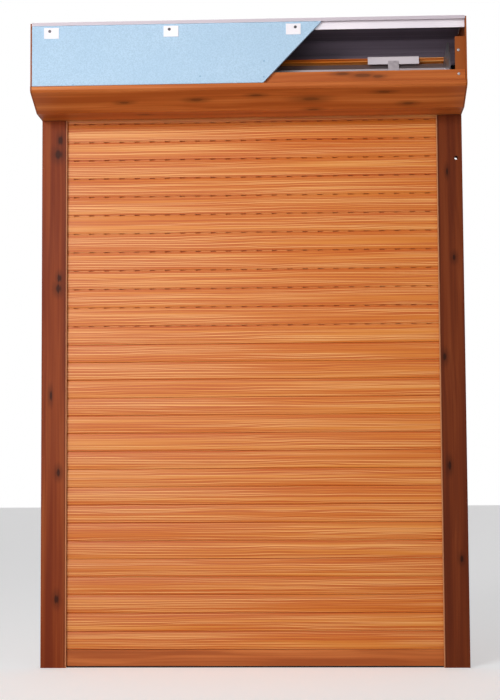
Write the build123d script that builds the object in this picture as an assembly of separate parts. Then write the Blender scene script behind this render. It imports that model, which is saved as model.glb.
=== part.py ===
import os
from math import cos, radians, sin

from build123d import *

# A flush mounted roller shutter: woodgrain slats in two guides, wound on an octagonal tube in a
# folded sheet box, with a foam board that carries the plaster over the front of the box.
# X runs along the box, -Y is the outside, Z is up. Millimetres.

# Overall
WIDTH = 880.0
BOX_HEIGHT = 170.0
BOX_DEPTH = 165.0
RUN = 0.3  # clearance between pieces that pass or lie beside each other
FIT = 0.1  # clearance between pieces that fit into each other
SHEET = 1.2  # folded sheet of the box
ROUND_SIDES = 20  # sides that stand for a circle on hidden round pieces

# Guides
GUIDE_WIDTH = 53.0
GUIDE_DEPTH = 22.0
GUIDE_WALL = 1.6
CHANNEL_REACH = 28.0
SEAL_POCKET = 4.2
LIP_CLEARANCE = 1.5
FIXING_HOLE = 8.0
FIXING_INSET = 12.5
FIXING_DROP = 91.0  # below the box

# Slats
SLAT_COVER = 37.0
SLAT_EDGE = 6.6
SLAT_CROWN = 1.0
SLAT_ROUND = 1.2
CROWN_START = 0.3  # part of the height at which the face turns to its flat middle
SLAT_INSERTION = 12.0
SLOT_OPENING = 2.0
CLOSED_SLATS = 17
HANGING_SLATS = 30
NECK = 1.0
NECK_OFFSET = 1.1
HOOK_RISE = 4.8
HOOK_REACH = 2.6
HOOK_HEAD = 1.2
HOOK_BEVEL = 0.8
LIP = 1.2
GROOVE_DEPTH = 4.9
SKIRT = 2.0  # height by which a slat's rear wall hangs over the slat below
GROOVE_PLAY = 1.0
VENT_LENGTH = 11.0
VENT_PITCH = 32.0
VENT_HEIGHT = 1.7
LEAN_ANGLES = (25.0, 51.0, 77.0)
LEAN_COVER = 38.9
LEAN_START = 33.0  # from the box's underside up to the joint of the first leaning slat

# Bottom bar
BAR_TOP = 37.0
BAR_THICKNESS = 8.6
BAR_WALL = 1.2
BAR_ROUND = 1.0
BAR_FOOT = 3.0
BAR_SOLID_FOOT = 6.0  # solid part below the hollow, which holds the seal's slot
SEAL_WIDTH = 6.0
SEAL_SLOT = 3.0
SEAL_SLOT_INNER = 4.4
SEAL_SLOT_STEP = 2.0

# Roller
TUBE_SIZE = 40.0
TUBE_WALL = 1.0
TUBE_AXIS_DEPTH = 82.5
TUBE_RISE = 70.5  # of its axis above the box's underside
TUBE_LEFT_GAP = 22.0
TUBE_RIGHT_GAP = 30.0
DISC_DIAMETER = 130.0
DISC_THICKNESS = 1.5
DISC_DISH = 6.0
DISC_FLAT = 62.0
DISC_SIDES = 32
DISC_GAP = 1.5
MOTOR_DIAMETER = 34.0
MOTOR_LENGTH = 430.0
MOTOR_HEAD_LENGTH = 14.0
MOTOR_HEAD_DIAMETER = 36.0
MOTOR_SQUARE = 10.0
BRACKET_SIZE = 60.0
BRACKET_THICKNESS = 4.0
WHEEL_LENGTH = 16.0
SHAFT_DIAMETER = 10.0
IDLER_LENGTH = 45.0
PIN_DIAMETER = 12.0
BEARING_OUTER = 28.0
BEARING_WIDTH = 8.0
PIN_PLAY = 0.05
HOLDER_OUTER = 38.0
HOLDER_BASE = 60.0
HOLDER_BASE_THICKNESS = 4.0
HOLDER_REACH = 22.0
COLLAR = 3.0
CROWN_LENGTH = 12.0

# Hanger
HANGER_OFFSET = 296.0
PLATE_LENGTH = 104.0
PLATE_THICKNESS = 2.0
PLATE_HEIGHT = 15.0
CLIP_REACH = 5.0
STRAP_OVERLAP = 7.0
STRAP_WIDTH = 22.0
STRAP_THICKNESS = 1.0
STRAP_HOOK_DROP = 6.0
STRAP_HOOK_LENGTH = 4.0

# Box
BEAD_HEIGHT = 12.0
BEAD_RISE = 27.0
BEAD_NOSE = 4.0
LEDGE_HEIGHT = 23.0
BOARD_THICKNESS = 8.0
PANEL_BREAK = 77.0
PANEL_UPTURN = 12.0
PLATE_RIM = 6.0
PLATE_WEB = 3.0
TAB_WIDTH = 20.0
TAB_THICKNESS = 2.5
TAB_RISE = 30.0
TAB_HEIGHT = 100.0
RIM_DEPTH = 2.5
COVER_TURN = 30.0
RAIL_STEP = 1.0
RAIL_FLANGE = 15.0
RAIL_NOSE = 6.5
RAIL_WALL = 2.0
RAIL_BACK = 22.0

# Board and fasteners
BOARD_FRONT = 3.0
BOARD_LIFT = 1.0  # above the bead
CUT_TOP = 149.0
CUT_FOOT = 31.0
WASHER_LENGTH = 30.0
WASHER_HEIGHT = 22.0
WASHER_THICKNESS = 1.5
WASHER_CENTRES = (-397.0, -154.0, 93.0)
WASHER_DROP = 15.5
WASHER_SCREW_SHIFTS = (-3.5, -3.5, 4.0)
BOARD_SCREW_RISE = 3.5  # above the foot of the rail
HEAD_HEIGHT = 1.5
HEAD_DIAMETER = 6.0
SCREW_DIAMETER = 3.5
SCREW_LENGTH = 13.0
SCREW_SIDES = 8
TAB_SCREW_RISES = (23.0, 72.0)  # above the tab's foot
TAB_SCREW_INSET = 16.0

# Worked out from the sizes above
HALF = WIDTH / 2
FRONT = -BOX_DEPTH / 2
REAR = BOX_DEPTH / 2
OPENING = HALF - GUIDE_WIDTH
SLAT_HALF = OPENING + SLAT_INSERTION
SLAT_PLANE = REAR - GUIDE_DEPTH / 2
OPEN_COVER = SLAT_COVER + SLOT_OPENING
BODY_HEIGHT = SLAT_COVER - RUN
OPEN_SLATS = HANGING_SLATS - CLOSED_SLATS
BOX_UNDERSIDE = BAR_TOP + CLOSED_SLATS * SLAT_COVER + OPEN_SLATS * OPEN_COVER - LEAN_START
HEIGHT = BOX_UNDERSIDE + BOX_HEIGHT
BEAD_UNDERSIDE = BOX_UNDERSIDE + BEAD_RISE
BEAD_TOP = BEAD_UNDERSIDE + BEAD_HEIGHT
TAB_FOOT = BOX_UNDERSIDE + TAB_RISE
TAB_SCREW_HEIGHTS = [TAB_FOOT + rise for rise in TAB_SCREW_RISES]
AXIS_Y = FRONT + TUBE_AXIS_DEPTH
TUBE_AXIS_HEIGHT = BOX_UNDERSIDE + TUBE_RISE
TUBE_LEFT = -HALF + PLATE_RIM + TUBE_LEFT_GAP
TUBE_RIGHT = HALF - PLATE_RIM - TUBE_RIGHT_GAP
SHELL_HALF = HALF - PLATE_WEB - RUN
COVER_HALF = HALF - PLATE_RIM - RUN
UPSTAND = FRONT + BOARD_FRONT + BOARD_THICKNESS + RUN


def section(*points):
    """A closed outline across the box, from (y, z) points."""
    return make_face(Polyline(*points, close=True))


def along_x(face, start, stop):
    """The outline as a bar from start to stop."""
    return extrude(Plane.YZ.offset(start) * face, amount=stop - start)


def bar(x0, x1, y0, y1, z0, z1):
    """A block between two corners."""
    return Pos((x0 + x1) / 2, (y0 + y1) / 2, (z0 + z1) / 2) * Box(x1 - x0, y1 - y0, z1 - z0)


def rod(diameter, start, stop):
    """A round bar on the tube's axis, with its corners on the diameter."""
    outline = RegularPolygon(diameter / 2, ROUND_SIDES)
    return extrude(Plane.YZ.offset(start) * Pos(AXIS_Y, TUBE_AXIS_HEIGHT) * outline, amount=stop - start)


def bore(diameter, start, stop):
    """A round hole on the tube's axis, with its flats on the diameter, so a rod of it turns inside."""
    outline = RegularPolygon(diameter / 2, ROUND_SIDES, major_radius=False)
    return extrude(Plane.YZ.offset(start) * Pos(AXIS_Y, TUBE_AXIS_HEIGHT) * outline, amount=stop - start)


def octagon(size, start, stop):
    """An octagonal bar along the tube's axis, with flats at its top and front."""
    outline = RegularPolygon(size / 2, 8, major_radius=False, rotation=22.5)
    return extrude(Plane.YZ.offset(start) * Pos(AXIS_Y, TUBE_AXIS_HEIGHT) * outline, amount=stop - start)


def folded(points, thickness, side=Side.LEFT, radius=1.5):
    """The section of a sheet folded along points, with round bends."""
    path = FilletPolyline(*points, radius=radius)
    return make_face(offset(path, amount=thickness, side=side))


def rebate(top):
    """Cut behind a slat's hook, which takes the skirt of the slat above."""
    right = NECK_OFFSET + NECK / 2
    return section((right, top - SKIRT), (BAR_THICKNESS, top - SKIRT), (BAR_THICKNESS, top), (right, top))


def slat_outline(play):
    """A slat's section: y from its middle plane, z from its lower joint line, with play in its groove."""
    edge = SLAT_EDGE / 2
    crown = edge + SLAT_CROWN
    low = BODY_HEIGHT * CROWN_START
    high = BODY_HEIGHT - low
    body = section(
        (SLAT_ROUND - edge, 0), (-edge, SLAT_ROUND), (-crown, low), (-crown, high),
        (-edge, BODY_HEIGHT - SLAT_ROUND), (SLAT_ROUND - edge, BODY_HEIGHT),
        (edge, BODY_HEIGHT), (crown, high), (crown, low), (edge, 0),
    )
    right = NECK_OFFSET + NECK / 2
    tip = right - HOOK_REACH
    mouth_left = right - NECK - RUN - play
    groove_right = right + RUN + play
    groove = section(
        (mouth_left, 0), (groove_right, 0), (groove_right, GROOVE_DEPTH + play),
        (tip - RUN - play, GROOVE_DEPTH + play), (tip - RUN - play, LIP), (mouth_left, LIP),
    )
    outline = body + hook_outline(BODY_HEIGHT) - groove - rebate(BODY_HEIGHT)
    if not play:
        outline += section((groove_right, 0), (edge, 0), (edge, -SKIRT), (groove_right, -SKIRT))
    return outline


def vents():
    """The row of cuts through a slat's neck that lets light in when the slats hang apart."""
    count = int(2 * (OPENING - VENT_LENGTH) / VENT_PITCH) + 1
    cut = Box(VENT_LENGTH, 3 * NECK, VENT_HEIGHT)
    row = GridLocations(VENT_PITCH, 1, count, 1)
    middle = BODY_HEIGHT + RUN + VENT_HEIGHT / 2
    return [Pos(0, NECK_OFFSET, middle) * spot * cut for spot in row]


def joint_height(number):
    """Height of the joint line below a hanging slat, counted from the bottom bar."""
    closed = min(number, CLOSED_SLATS)
    return BAR_TOP + closed * SLAT_COVER + (number - closed) * OPEN_COVER


def lean_chain():
    """Joint lines and lean angles of the slats between the guides and the tube."""
    y = SLAT_PLANE + NECK_OFFSET
    z = joint_height(HANGING_SLATS)
    chain = []
    for lean in LEAN_ANGLES:
        chain.append((y, z, lean))
        y -= LEAN_COVER * sin(radians(lean))
        z += LEAN_COVER * cos(radians(lean))
    return chain


def slats():
    """Every slat, from the bottom bar to the one that lies on the tube."""
    pieces = {}
    straight = along_x(slat_outline(0), -SLAT_HALF, SLAT_HALF)
    vented = straight - vents()
    for number in range(HANGING_SLATS):
        shape = vented if number >= CLOSED_SLATS else straight
        pieces[f"slat_{number + 1:02d}"] = Pos(0, SLAT_PLANE, joint_height(number)) * shape
    loose = along_x(slat_outline(GROOVE_PLAY), -SLAT_HALF, SLAT_HALF)
    for number, (y, z, lean) in enumerate(lean_chain()):
        place = Pos(0, y, z) * Rot(lean, 0, 0) * Pos(0, -NECK_OFFSET, 0)
        pieces[f"slat_{HANGING_SLATS + number + 1:02d}"] = place * loose
    return pieces


def hook_outline(foot):
    """The hook along a slat's top edge, which the next slat's groove hangs over."""
    right = NECK_OFFSET + NECK / 2
    tip = right - HOOK_REACH
    top = foot + HOOK_RISE
    return section(
        (right - NECK, foot), (right, foot), (right, top - HOOK_BEVEL), (right - HOOK_BEVEL, top),
        (tip, top), (tip, top - HOOK_HEAD), (right - NECK, top - HOOK_HEAD),
    )


def tee(width, inner, foot, step, top):
    """Section of the seal's slot, or of the seal's root in it: narrow at its mouth, wide above."""
    return section(
        (-width / 2, foot), (width / 2, foot), (width / 2, foot + step), (inner / 2, foot + step),
        (inner / 2, top), (-inner / 2, top), (-inner / 2, foot + step), (-width / 2, foot + step),
    )


def bottom_bar():
    """Hollow end slat and the rubber seal in the slot under it."""
    half = BAR_THICKNESS / 2
    top = BAR_TOP - RUN
    outer = section((-half, BAR_FOOT), (half, BAR_FOOT), (half, top), (-half, top))
    outer = fillet(outer.vertices(), radius=BAR_ROUND)
    floor = BAR_FOOT + BAR_SOLID_FOOT
    hollow = section(
        (-half + BAR_WALL, floor), (half - BAR_WALL, floor),
        (half - BAR_WALL, top - BAR_WALL - SKIRT), (-half + BAR_WALL, top - BAR_WALL - SKIRT),
    )
    roof = BAR_FOOT + 2 * SEAL_SLOT_STEP
    slot = tee(SEAL_SLOT, SEAL_SLOT_INNER, BAR_FOOT, SEAL_SLOT_STEP, roof)
    shape = outer + hook_outline(top) - hollow - slot - rebate(top)
    lip = Pos(0, BAR_FOOT / 2) * Rectangle(SEAL_WIDTH, BAR_FOOT)
    root = tee(SEAL_SLOT - 2 * FIT, SEAL_SLOT_INNER - 2 * FIT, BAR_FOOT, SEAL_SLOT_STEP + FIT, roof - FIT)
    place = Pos(0, SLAT_PLANE, 0)
    bar_piece = place * along_x(shape, -SLAT_HALF, SLAT_HALF)
    seal = place * along_x(lip + root, -OPENING + RUN, OPENING - RUN)
    return {"bottom_bar": bar_piece, "bottom_seal": seal}


def guide(side):
    """One guide rail with a chamber for its screws, a channel for the slats and two seal pockets."""
    outer = HALF
    inner = HALF - GUIDE_WIDTH
    back = REAR
    front = REAR - GUIDE_DEPTH
    wall = GUIDE_WALL
    floor = inner + CHANNEL_REACH
    lip = SLAT_PLANE - front - BAR_THICKNESS / 2 - LIP_CLEARANCE
    plan = Rectangle(GUIDE_WIDTH, GUIDE_DEPTH, align=(Align.MIN, Align.MIN))
    plan = Pos(inner, front) * fillet(plan.vertices(), radius=0.8)
    chamber = Pos(floor + wall, front + wall) * Rectangle(
        outer - floor - 2 * wall, GUIDE_DEPTH - 2 * wall, align=(Align.MIN, Align.MIN))
    channel = Pos(inner - wall, front + wall) * Rectangle(
        CHANNEL_REACH + wall, GUIDE_DEPTH - 2 * wall, align=(Align.MIN, Align.MIN))
    plan = plan - chamber - channel
    rib = Rectangle(wall, lip - wall, align=(Align.MIN, Align.MIN))
    for x in (inner, inner + wall + SEAL_POCKET):
        plan += Pos(x, front + wall) * rib
        plan += Pos(x, back - lip) * rib
    rail = extrude(plan, amount=BOX_UNDERSIDE - RUN)
    if side > 0:
        hole = Cylinder(FIXING_HOLE / 2, 3 * GUIDE_DEPTH, rotation=(90, 0, 0))
        rail -= Pos(outer - FIXING_INSET, SLAT_PLANE, BOX_UNDERSIDE - FIXING_DROP) * hole
    return rail if side > 0 else mirror(rail, about=Plane.YZ)


def guide_seals(side):
    """The two seals between which the slats run in one guide."""
    front = REAR - GUIDE_DEPTH + GUIDE_WALL
    back = REAR - GUIDE_WALL
    inner = HALF - GUIDE_WIDTH + GUIDE_WALL
    face = BAR_THICKNESS / 2 + RUN
    ends = sorted((side * (inner + FIT), side * (inner + SEAL_POCKET - FIT)))
    rows = ((front + FIT, SLAT_PLANE - face), (SLAT_PLANE + face, back - FIT))
    return [bar(*ends, start, stop, 0, BOX_UNDERSIDE - RUN) for start, stop in rows]


def panel_path():
    """Outer face of the inspection panel, from the ledge's top round the bead to the guides."""
    return [
        (UPSTAND, BEAD_TOP + LEDGE_HEIGHT), (UPSTAND, BEAD_TOP), (FRONT, BEAD_TOP),
        (FRONT, BEAD_UNDERSIDE + BEAD_NOSE),
        (FRONT + BEAD_NOSE, BEAD_UNDERSIDE), (FRONT + PANEL_BREAK, BOX_UNDERSIDE),
        (REAR - GUIDE_DEPTH - RUN, BOX_UNDERSIDE), (REAR - GUIDE_DEPTH - RUN, BOX_UNDERSIDE + PANEL_UPTURN),
    ]


def inspection_panel():
    """Folded sheet: ledge behind the board, bead, and the soffit back to the guides."""
    sheet = along_x(folded(panel_path(), SHEET), -SHELL_HALF, SHELL_HALF)
    for side in (-1, 1):
        sheet -= tab_screw_hole(side, TAB_SCREW_HEIGHTS[0])
    return sheet


def screw_hole():
    """Clearance hole along Y for a screw's shank."""
    outline = RegularPolygon(SCREW_DIAMETER / 2 + RUN, SCREW_SIDES)
    return extrude(Plane.XZ.offset(-SCREW_LENGTH / 2) * outline, amount=SCREW_LENGTH)


def tab_screw_hole(side, height):
    """Clearance for one screw of a tab."""
    x = side * (HALF - TAB_SCREW_INSET)
    return Pos(x, UPSTAND + SHEET, height) * screw_hole()


def end_plate(side):
    """Cast end plate: web, a rim that the sheets lie on, and the tab that takes the screws."""
    web = section(
        (FRONT + BOARD_FRONT, HEIGHT - SHEET), (REAR, HEIGHT - SHEET), (REAR, BOX_UNDERSIDE),
        (FRONT + PANEL_BREAK, BOX_UNDERSIDE), (FRONT + BEAD_NOSE, BEAD_UNDERSIDE),
        (FRONT, BEAD_UNDERSIDE + BEAD_NOSE), (FRONT, BEAD_TOP), (FRONT + BOARD_FRONT, BEAD_TOP),
    )
    inner = SHEET + RUN
    lower = section(
        (UPSTAND, BEAD_UNDERSIDE + inner), (FRONT + PANEL_BREAK, BOX_UNDERSIDE + inner),
        (REAR - GUIDE_DEPTH - inner - RUN, BOX_UNDERSIDE + inner),
        (REAR - GUIDE_DEPTH - inner - RUN, BOX_UNDERSIDE + inner + RIM_DEPTH),
        (FRONT + PANEL_BREAK, BOX_UNDERSIDE + inner + RIM_DEPTH), (UPSTAND, BEAD_UNDERSIDE + inner + RIM_DEPTH),
    )
    behind = REAR - inner
    above = HEIGHT - SHEET - inner
    upper = section(
        (UPSTAND + RAIL_BACK, above), (behind, above), (behind, BOX_UNDERSIDE),
        (behind - RIM_DEPTH, BOX_UNDERSIDE),
        (behind - RIM_DEPTH, above - RIM_DEPTH), (UPSTAND + RAIL_BACK, above - RIM_DEPTH),
    )
    tab_front = UPSTAND + SHEET + RUN
    plate = along_x(web, HALF - PLATE_WEB, HALF)
    plate += along_x(lower, HALF - PLATE_RIM, HALF - PLATE_WEB)
    plate += along_x(upper, HALF - PLATE_RIM, HALF - PLATE_WEB)
    plate += bar(
        HALF - PLATE_WEB - TAB_WIDTH, HALF - PLATE_WEB, tab_front, tab_front + TAB_THICKNESS,
        TAB_FOOT, TAB_FOOT + TAB_HEIGHT)
    for height in TAB_SCREW_HEIGHTS:
        plate -= tab_screw_hole(1, height)
    return plate if side > 0 else mirror(plate, about=Plane.YZ)


def top_rail():
    """White rail: flange behind the board, nose over its top edge and a shelf for the top cover."""
    nose = HEIGHT - RAIL_NOSE
    foot = nose - RAIL_FLANGE
    flange = UPSTAND
    outline = section(
        (FRONT + RAIL_STEP, HEIGHT), (flange + RAIL_BACK, HEIGHT), (flange + RAIL_BACK, HEIGHT - RAIL_WALL),
        (flange + RAIL_WALL, HEIGHT - RAIL_WALL), (flange + RAIL_WALL, foot), (flange, foot),
        (flange, HEIGHT - RAIL_WALL), (FRONT + RAIL_STEP + RAIL_WALL, HEIGHT - RAIL_WALL),
        (FRONT + RAIL_STEP + RAIL_WALL, nose), (FRONT + RAIL_STEP, nose),
    )
    rail = along_x(outline, -SHELL_HALF, SHELL_HALF)
    for x, height in board_screw_places():
        rail -= Pos(x, flange, height) * screw_hole()
    return rail


def top_cover():
    """Sheet over the top of the box, turned down in front of the rear cover."""
    start = UPSTAND + RAIL_WALL + RUN
    top = HEIGHT - RAIL_WALL - RUN
    behind = REAR - SHEET - RUN
    path = [(start, top), (behind, top), (behind, top - COVER_TURN)]
    return along_x(folded(path, SHEET, Side.RIGHT), -COVER_HALF, COVER_HALF)


def rear_cover():
    """Sheet on the wall side, with a flange over the top cover."""
    path = [(REAR - COVER_TURN, HEIGHT), (REAR, HEIGHT), (REAR, BOX_UNDERSIDE)]
    return along_x(folded(path, SHEET, Side.RIGHT), -SHELL_HALF, SHELL_HALF)


def board_screw_places():
    """Centres of the screws that hold the board, as (x, height)."""
    height = HEIGHT - RAIL_NOSE - RAIL_FLANGE + BOARD_SCREW_RISE
    return [(x + shift, height) for x, shift in zip(WASHER_CENTRES, WASHER_SCREW_SHIFTS)]


def plaster_board():
    """Foam board that carries the plaster, cut away on a slant."""
    foot = BEAD_TOP + BOARD_LIFT
    top = HEIGHT - RAIL_NOSE - RUN
    left = -HALF + PLATE_WEB + RUN
    outline = make_face(Polyline((left, foot), (CUT_FOOT, foot), (CUT_TOP, top), (left, top), close=True))
    start = FRONT + BOARD_FRONT
    board = extrude(Plane.XZ.offset(-start - BOARD_THICKNESS) * outline, amount=BOARD_THICKNESS)
    for x, height in board_screw_places():
        board -= Pos(x, start + BOARD_THICKNESS / 2, height) * screw_hole()
    side = HEAD_DIAMETER + 2 * RUN
    pocket = Box(side, 2 * HEAD_HEIGHT + 2 * RUN, side)
    board -= Pos(-HALF + TAB_SCREW_INSET, UPSTAND, TAB_SCREW_HEIGHTS[0]) * pocket
    return board


def board_fixings():
    """Square washers and screws along the board's top edge."""
    face = FRONT + BOARD_FRONT
    washers, screws = [], []
    for x, (hole, height) in zip(WASHER_CENTRES, board_screw_places()):
        middle = HEIGHT - RAIL_NOSE - WASHER_DROP
        plate = bar(x - WASHER_LENGTH / 2, x + WASHER_LENGTH / 2, face - WASHER_THICKNESS, face,
                    middle - WASHER_HEIGHT / 2, middle + WASHER_HEIGHT / 2)
        washers.append(plate - Pos(hole, face, height) * screw_hole())
        screws.append(Pos(hole, face - WASHER_THICKNESS, height) * screw())
    return washers, screws


def screw():
    """Pan head screw along Y, its head's seat at the origin and its head towards the front."""
    head = RegularPolygon(HEAD_DIAMETER / 2, 2 * SCREW_SIDES)
    shank = RegularPolygon(SCREW_DIAMETER / 2, SCREW_SIDES)
    return extrude(Plane.XZ * head, amount=HEAD_HEIGHT) + extrude(Plane.XZ * shank, amount=-SCREW_LENGTH)


def group(solids):
    """Identical pieces kept as separate solids of one node."""
    return Compound(children=[Solid(piece.solid().wrapped) for piece in solids])


def tab_screws():
    """Screws of the end plates' tabs: the lower ones hold the inspection panel."""
    screws = []
    for side in (-1, 1):
        x = side * (HALF - TAB_SCREW_INSET)
        screws.append(Pos(x, UPSTAND, TAB_SCREW_HEIGHTS[0]) * screw())
        screws.append(Pos(x, UPSTAND + SHEET + RUN, TAB_SCREW_HEIGHTS[1]) * screw())
    return screws


def roller_tube():
    """Octagonal steel tube with the slots that the hanger straps hook into."""
    tube = octagon(TUBE_SIZE, TUBE_LEFT, TUBE_RIGHT) - octagon(TUBE_SIZE - 2 * TUBE_WALL, TUBE_LEFT, TUBE_RIGHT)
    for side in (-1, 1):
        x = side * HANGER_OFFSET
        y = AXIS_Y - TUBE_SIZE / 2
        hook = TUBE_AXIS_HEIGHT - STRAP_HOOK_DROP
        tube -= bar(x - STRAP_WIDTH / 2 - RUN, x + STRAP_WIDTH / 2 + RUN, y - TUBE_WALL, y + 2 * TUBE_WALL,
                    hook - STRAP_THICKNESS - RUN, hook + RUN)
    return tube


def disc_outline(radius, x):
    """The flange disc's round outline at one place along the tube."""
    return Plane.YZ.offset(x) * Pos(AXIS_Y, TUBE_AXIS_HEIGHT) * RegularPolygon(radius, DISC_SIDES)


def dish(start):
    """Flat sided solid that widens from the disc's flat middle to its rim."""
    rim = start + DISC_DISH
    wide = loft([disc_outline(DISC_FLAT / 2, start), disc_outline(DISC_DIAMETER / 2, rim)], ruled=True)
    flats = Solid(Shell([Face(face.outer_wire()) for face in wide.faces()]))
    return flats + extrude(disc_outline(DISC_DIAMETER / 2, rim), amount=DISC_THICKNESS)


def flange_disc(side):
    """Dished disc at one end of the winding, which keeps the slats in line."""
    inside = SLAT_HALF + DISC_GAP
    disc = dish(inside) - dish(inside + DISC_THICKNESS)
    disc -= octagon(TUBE_SIZE + 2 * FIT, inside - DISC_THICKNESS, inside + 2 * DISC_THICKNESS)
    return disc if side > 0 else mirror(disc, about=Plane.YZ)


def idler():
    """Idler end: cap in the tube, its pin, the bearing round the pin and the holder on the end plate."""
    inner = TUBE_SIZE - 2 * TUBE_WALL - 2 * FIT
    start = TUBE_RIGHT - IDLER_LENGTH
    cap = octagon(inner, start, TUBE_RIGHT + FIT) + octagon(TUBE_SIZE, TUBE_RIGHT + FIT, TUBE_RIGHT + COLLAR)
    cap -= bore(PIN_DIAMETER + 2 * PIN_PLAY, start + IDLER_LENGTH / 2, TUBE_RIGHT + 2 * COLLAR)
    face = HALF - PLATE_WEB
    mouth = face - HOLDER_REACH
    seat = mouth + BEARING_WIDTH
    foot = face - HOLDER_BASE_THICKNESS
    pin = rod(PIN_DIAMETER, start + IDLER_LENGTH / 2 + FIT, foot - RUN)
    bearing = rod(BEARING_OUTER, mouth, seat) - bore(PIN_DIAMETER + 2 * PIN_PLAY, mouth, seat)
    half = HOLDER_BASE / 2
    base = bar(foot, face, AXIS_Y - half, AXIS_Y + half, TUBE_AXIS_HEIGHT - half, TUBE_AXIS_HEIGHT + half)
    holder = base + rod(HOLDER_OUTER, mouth, foot)
    holder -= bore(BEARING_OUTER + 2 * PIN_PLAY, mouth, seat + FIT)
    holder -= bore((PIN_DIAMETER + BEARING_OUTER) / 2, mouth, foot)
    return {"idler_cap": cap, "idler_pin": pin, "idler_bearing": bearing, "bearing_holder": holder}


def motor():
    """Tubular motor: its body stands still in the bracket, the crown and drive wheel turn the tube."""
    face = -HALF + PLATE_WEB
    head = TUBE_LEFT - MOTOR_HEAD_LENGTH
    inner = TUBE_SIZE - 2 * TUBE_WALL - 2 * FIT
    stop = TUBE_LEFT + MOTOR_LENGTH
    square = MOTOR_SQUARE / 2
    hole = square + PIN_PLAY
    half = BRACKET_SIZE / 2
    body = rod(MOTOR_HEAD_DIAMETER, head, TUBE_LEFT - RUN) + rod(MOTOR_DIAMETER, TUBE_LEFT - RUN, stop)
    body += rod(SHAFT_DIAMETER, stop, stop + WHEEL_LENGTH)
    body += bar(face + RUN, head, AXIS_Y - square, AXIS_Y + square,
                TUBE_AXIS_HEIGHT - square, TUBE_AXIS_HEIGHT + square)
    bracket = bar(face, face + BRACKET_THICKNESS, AXIS_Y - half, AXIS_Y + half,
                  TUBE_AXIS_HEIGHT - half, TUBE_AXIS_HEIGHT + half)
    bracket -= bar(face, face + BRACKET_THICKNESS, AXIS_Y - hole, AXIS_Y + hole,
                   TUBE_AXIS_HEIGHT - hole, TUBE_AXIS_HEIGHT + hole)
    crown = octagon(inner, TUBE_LEFT + RUN, TUBE_LEFT + CROWN_LENGTH)
    crown -= bore(MOTOR_DIAMETER + 2 * RUN, TUBE_LEFT, TUBE_LEFT + CROWN_LENGTH)
    wheel = octagon(inner, stop + RUN, stop + WHEEL_LENGTH)
    wheel -= bore(SHAFT_DIAMETER + 2 * PIN_PLAY, stop, stop + WHEEL_LENGTH)
    return {"motor": body, "motor_bracket": bracket, "motor_crown": crown, "drive_wheel": wheel}


def hangers():
    """White plates clipped over the last slat's hook, and the straps from them into the tube's slots."""
    y, z, lean = lean_chain()[-1]
    reach = BODY_HEIGHT + HOOK_RISE
    front = AXIS_Y - TUBE_SIZE / 2 - RUN
    bend = (y - reach * sin(radians(lean)) - NECK, z + reach * cos(radians(lean)) + NECK)
    foot = (front + PLATE_THICKNESS + FIT, bend[1] - PLATE_HEIGHT)
    clip = folded([(bend[0] + CLIP_REACH, bend[1] + RUN), bend, foot], PLATE_THICKNESS, Side.RIGHT, NECK)
    slope = (bend[0] - foot[0]) / PLATE_HEIGHT
    hook = TUBE_AXIS_HEIGHT - STRAP_HOOK_DROP
    line = [(front - FIT + slope * STRAP_OVERLAP, foot[1] + STRAP_OVERLAP), (front - FIT, foot[1]),
            (front - FIT, hook), (front + STRAP_HOOK_LENGTH, hook)]
    strip = folded(line, STRAP_THICKNESS, Side.RIGHT, NECK)
    centres = (-HANGER_OFFSET, HANGER_OFFSET)
    plates = [along_x(clip, x - PLATE_LENGTH / 2, x + PLATE_LENGTH / 2) for x in centres]
    straps = [along_x(strip, x - STRAP_WIDTH / 2, x + STRAP_WIDTH / 2) for x in centres]
    return plates, straps


def build():
    """Every piece by its node's name."""
    washers, screws = board_fixings()
    plates, straps = hangers()
    pieces = {
        "guide_left": guide(-1), "guide_right": guide(1),
        "guide_seals": group(guide_seals(-1) + guide_seals(1)), "inspection_panel": inspection_panel(),
        "end_plate_left": end_plate(-1), "end_plate_right": end_plate(1),
        "top_rail": top_rail(), "top_cover": top_cover(), "rear_cover": rear_cover(),
        "plaster_board": plaster_board(), "board_washers": group(washers),
        "screws": group(screws + tab_screws()),
        "roller_tube": roller_tube(), "flange_disc_left": flange_disc(-1), "flange_disc_right": flange_disc(1),
        "hanger_plates": group(plates), "hanger_straps": group(straps),
    }
    return pieces | idler() | motor() | bottom_bar() | slats()


os.makedirs("parts", exist_ok=True)
for name, piece in build().items():
    export_step(piece, f"parts/{name}.step")
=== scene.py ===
# %% [markdown]
# # A woodgrain roller shutter
# The shutter is a curtain of narrow plastic slats that runs in two guides and winds on a tube in a
# flush box. The box is shown with part of its plaster board cut away, so the inside can be seen.
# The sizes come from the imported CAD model, which is loaded first and never moved. This script adds
# the finishes, the smooth slats and discs, the screws and the light.

# %% Load the model
from math import atan2, cos, pi, radians, sin
import bmesh
import bpy
from mathutils import Matrix, Vector


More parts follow.
